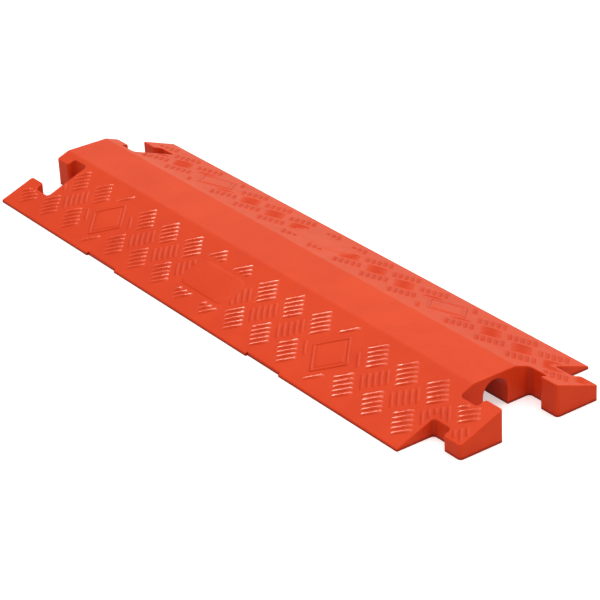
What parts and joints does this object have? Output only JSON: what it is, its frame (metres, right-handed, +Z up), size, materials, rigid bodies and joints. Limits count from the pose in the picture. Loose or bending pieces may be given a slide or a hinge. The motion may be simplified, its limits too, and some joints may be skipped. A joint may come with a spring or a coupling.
{
  "type": "cable protector ramp",
  "caption": "Straight drop-over cable protector: a ramped orange moulding with an open-floored cable channel under its crown, raised tread bars and T-shaped interlocking ends.",
  "frame": {"origin": "on the floor under the middle of the whole module, lugs included", "axes": "+X along the cable run towards the lugged end, +Y to the rear ramp, +Z up"},
  "size_m": [0.9768, 0.297, 0.047],
  "materials": {
    "orange_polyurethane": "satin moulded polyurethane, coloured right through"
  },
  "bodies": {
    "root": {"crown_arch": "orange_polyurethane", "end_tongue_head": "orange_polyurethane", "end_tongue_neck": "orange_polyurethane", "front_centre_panel": "orange_polyurethane", "front_diamond_frames": "orange_polyurethane", "front_lower_tread": "orange_polyurethane", "front_lug_head": "orange_polyurethane", "front_lug_neck": "orange_polyurethane", "front_middle_tread": "orange_polyurethane", "front_ramp": "orange_polyurethane", "front_socket_hook": "orange_polyurethane", "front_socket_shoulder": "orange_polyurethane", "front_toe_edge": "orange_polyurethane", "front_upper_tread": "orange_polyurethane", "rear_centre_panel": "orange_polyurethane", "rear_diamond_frames": "orange_polyurethane", "rear_lower_tread": "orange_polyurethane", "rear_lug_head": "orange_polyurethane", "rear_lug_neck": "orange_polyurethane", "rear_middle_tread": "orange_polyurethane", "rear_ramp": "orange_polyurethane", "rear_socket_hook": "orange_polyurethane", "rear_socket_shoulder": "orange_polyurethane", "rear_toe_edge": "orange_polyurethane", "rear_upper_tread": "orange_polyurethane"}
  },
  "joints": []
}
